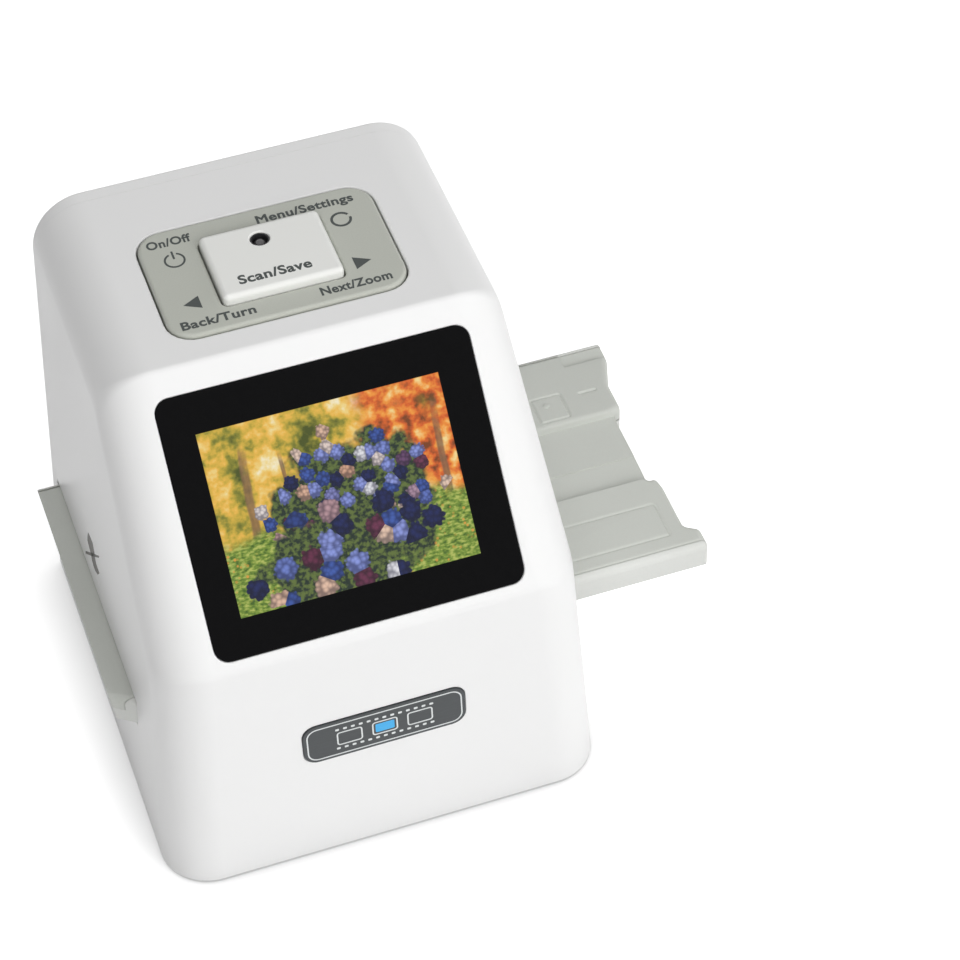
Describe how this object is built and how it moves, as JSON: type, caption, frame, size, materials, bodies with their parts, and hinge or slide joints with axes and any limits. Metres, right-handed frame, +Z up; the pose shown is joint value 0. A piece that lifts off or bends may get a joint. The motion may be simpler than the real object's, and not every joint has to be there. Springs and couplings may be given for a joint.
{
  "type": "film negative scanner",
  "caption": "Tabletop film negative scanner with a sloped display, a rocking keypad with a centre key on top, and a film adapter that slides through the body from side to side.",
  "frame": {"origin": "middle of the middle foot, in the plane of the undersides of the feet", "axes": "+X to the right along the film, towards the adapter's handle end; +Y to the rear; +Z up"},
  "size_m": [0.1295, 0.0983, 0.1086],
  "materials": {
    "white_case": "smooth moulded ABS, satin gloss",
    "white_key": "smooth moulded ABS, slightly warm white",
    "screen_black": "polished black acrylic window, clear over the display",
    "lcd_glass": "colour display panel behind the window",
    "grey_pad": "fine satin grey moulding with printed icons",
    "adapter_grey": "satin light grey moulding",
    "nameplate_charcoal": "charcoal plate with a pale inlay line",
    "foot_rubber": "matt rubber",
    "screw_steel": "zinc plated",
    "spring_steel": "sprung stainless steel",
    "socket_metal": "nickel plated",
    "black_plastic": "matt black ABS",
    "circuit_board": "green solder mask on glass epoxy",
    "chip_black": "moulded epoxy",
    "lamp_lens": "moulded lens",
    "optical_glass": "coated optical glass",
    "light_white": "opal white, diffusing",
    "ribbon_film": "polyimide film",
    "wire_red": "insulated hook-up wire"
  },
  "bodies": {
    "scanner_body": {"housing": "white_case", "rear_cover": "white_case", "base_cover": "white_case", "rubber_feet": "foot_rubber", "base_screws": "screw_steel", "rear_screws": "screw_steel", "display_window": "screen_black", "lcd_module": "lcd_glass", "lcd_frame": "black_plastic", "lcd_screws": "screw_steel", "nameplate": "nameplate_charcoal", "key_guide": "black_plastic", "status_lamp": "lamp_lens", "key_board": "circuit_board", "snap_domes": "spring_steel", "key_board_screws": "screw_steel", "rocker_posts": "black_plastic", "film_guide": "black_plastic", "guide_screws": "screw_steel", "pressure_plate": "black_plastic", "plate_screws": "screw_steel", "detent_spring": "spring_steel", "light_box": "light_white", "light_board": "circuit_board", "light_leds": "lamp_lens", "diffuser": "light_white", "optics_tower": "black_plastic", "tower_screws": "screw_steel", "lens_holder": "black_plastic", "holder_screws": "screw_steel", "lens_barrel": "black_plastic", "lens_elements": "optical_glass", "infrared_filter": "optical_glass", "image_sensor": "chip_black", "sensor_board": "circuit_board", "sensor_screws": "screw_steel", "main_board": "circuit_board", "board_screws": "screw_steel", "processor_chip": "chip_black", "memory_chips": "chip_black", "capacitors": "socket_metal", "usb_socket": "socket_metal", "video_jack": "black_plastic", "card_slot": "socket_metal", "lcd_ribbon": "ribbon_film", "key_ribbon": "ribbon_film", "sensor_ribbon": "ribbon_film", "light_wires": "wire_red"},
    "film_adapter": {"adapter_base": "adapter_grey", "adapter_cover": "adapter_grey"},
    "rocker": {"rocker_ring": "black_plastic"},
    "keypad": {"keypad_pad": "grey_pad"},
    "centre_key": {"ok_key": "white_key"}
  },
  "joints": [
    {"name": "adapter_slide", "type": "slide", "parent": "scanner_body", "child": "film_adapter", "axis": [1, 0, 0], "range_m": [0, 0.085]},
    {"name": "pad_tilt_front_rear", "type": "hinge", "parent": "scanner_body", "child": "rocker", "pos_m": [0, 0.015, 0.1001], "axis": [1, 0, 0], "range_deg": [-1.2, 1.2], "stiffness_Nm_per_rad": 1},
    {"name": "pad_tilt_side", "type": "hinge", "parent": "rocker", "child": "keypad", "pos_m": [0, 0.015, 0.1001], "axis": [0, 1, 0], "range_deg": [-1.2, 1.2], "stiffness_Nm_per_rad": 1.5},
    {"name": "centre_key_press", "type": "slide", "parent": "scanner_body", "child": "centre_key", "axis": [0, 0, -1], "range_m": [0, 0.0007], "stiffness_N_per_m": 2500}
  ]
}
